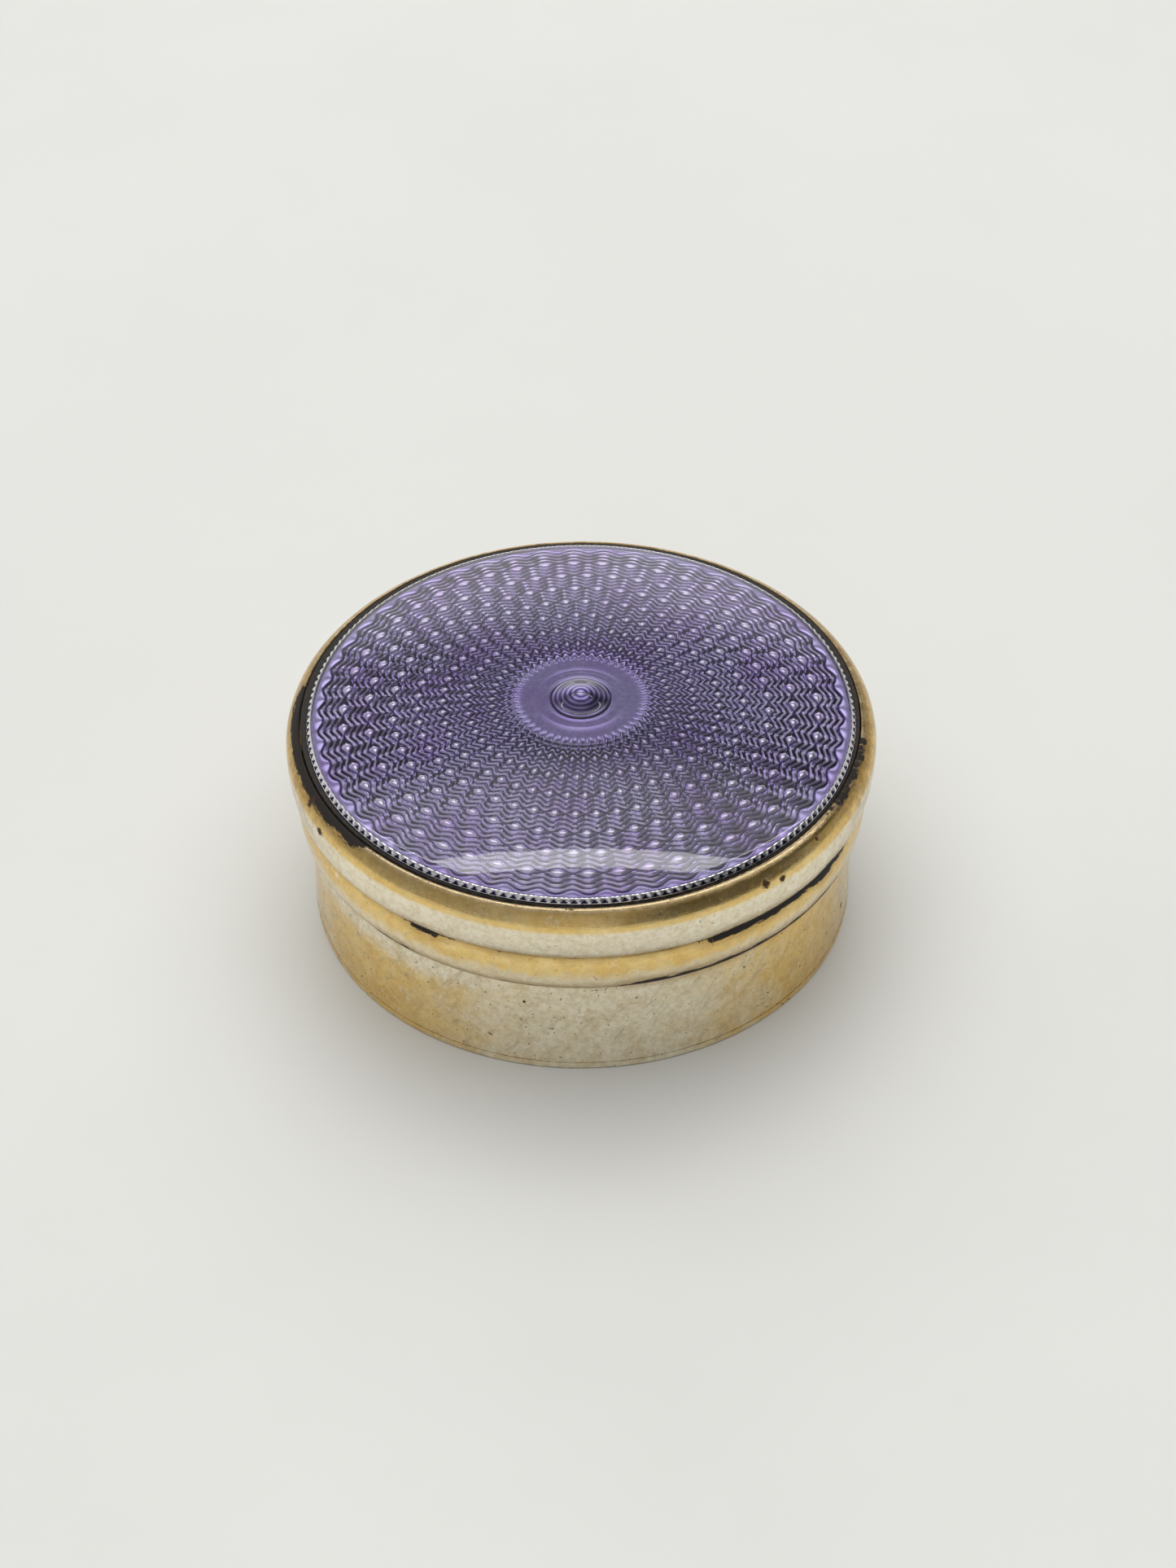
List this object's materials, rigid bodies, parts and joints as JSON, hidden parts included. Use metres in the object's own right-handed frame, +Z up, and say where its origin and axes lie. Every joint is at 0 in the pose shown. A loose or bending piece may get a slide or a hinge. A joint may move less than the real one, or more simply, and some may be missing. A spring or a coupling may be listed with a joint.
{
  "type": "pill box",
  "caption": "Round metal pill box with a push-on lid. The lid's moulded rim holds a domed, engine-turned plaque under translucent lilac enamel, and lifts straight off a collar.",
  "frame": {"origin": "middle of the underside of the base", "axes": "+Z up along the box's own axis; the box is round, so +X and +Y are any two level directions"},
  "size_m": [0.038, 0.038, 0.0165],
  "materials": {
    "silver_gilt": "polished, rubbed pale in places",
    "engraved_silver": "bright engine-turned cuts",
    "lilac_enamel": "clear and glossy",
    "back_enamel": "glossy",
    "dark_cement": "dull"
  },
  "bodies": {
    "box": {"box_base": "silver_gilt", "box_wall": "silver_gilt", "rim_moulding": "silver_gilt", "box_collar": "silver_gilt"},
    "lid": {"lid_rim": "silver_gilt", "lid_skirt": "silver_gilt", "lid_lining": "silver_gilt", "enamel_plate": "engraved_silver", "enamel_coat": "lilac_enamel", "counter_enamel": "back_enamel", "setting_cement": "dark_cement"}
  },
  "joints": [
    {"name": "lid_lift", "type": "slide", "parent": "box", "child": "lid", "axis": [0, 0, 1], "range_m": [0, 0.025]}
  ]
}
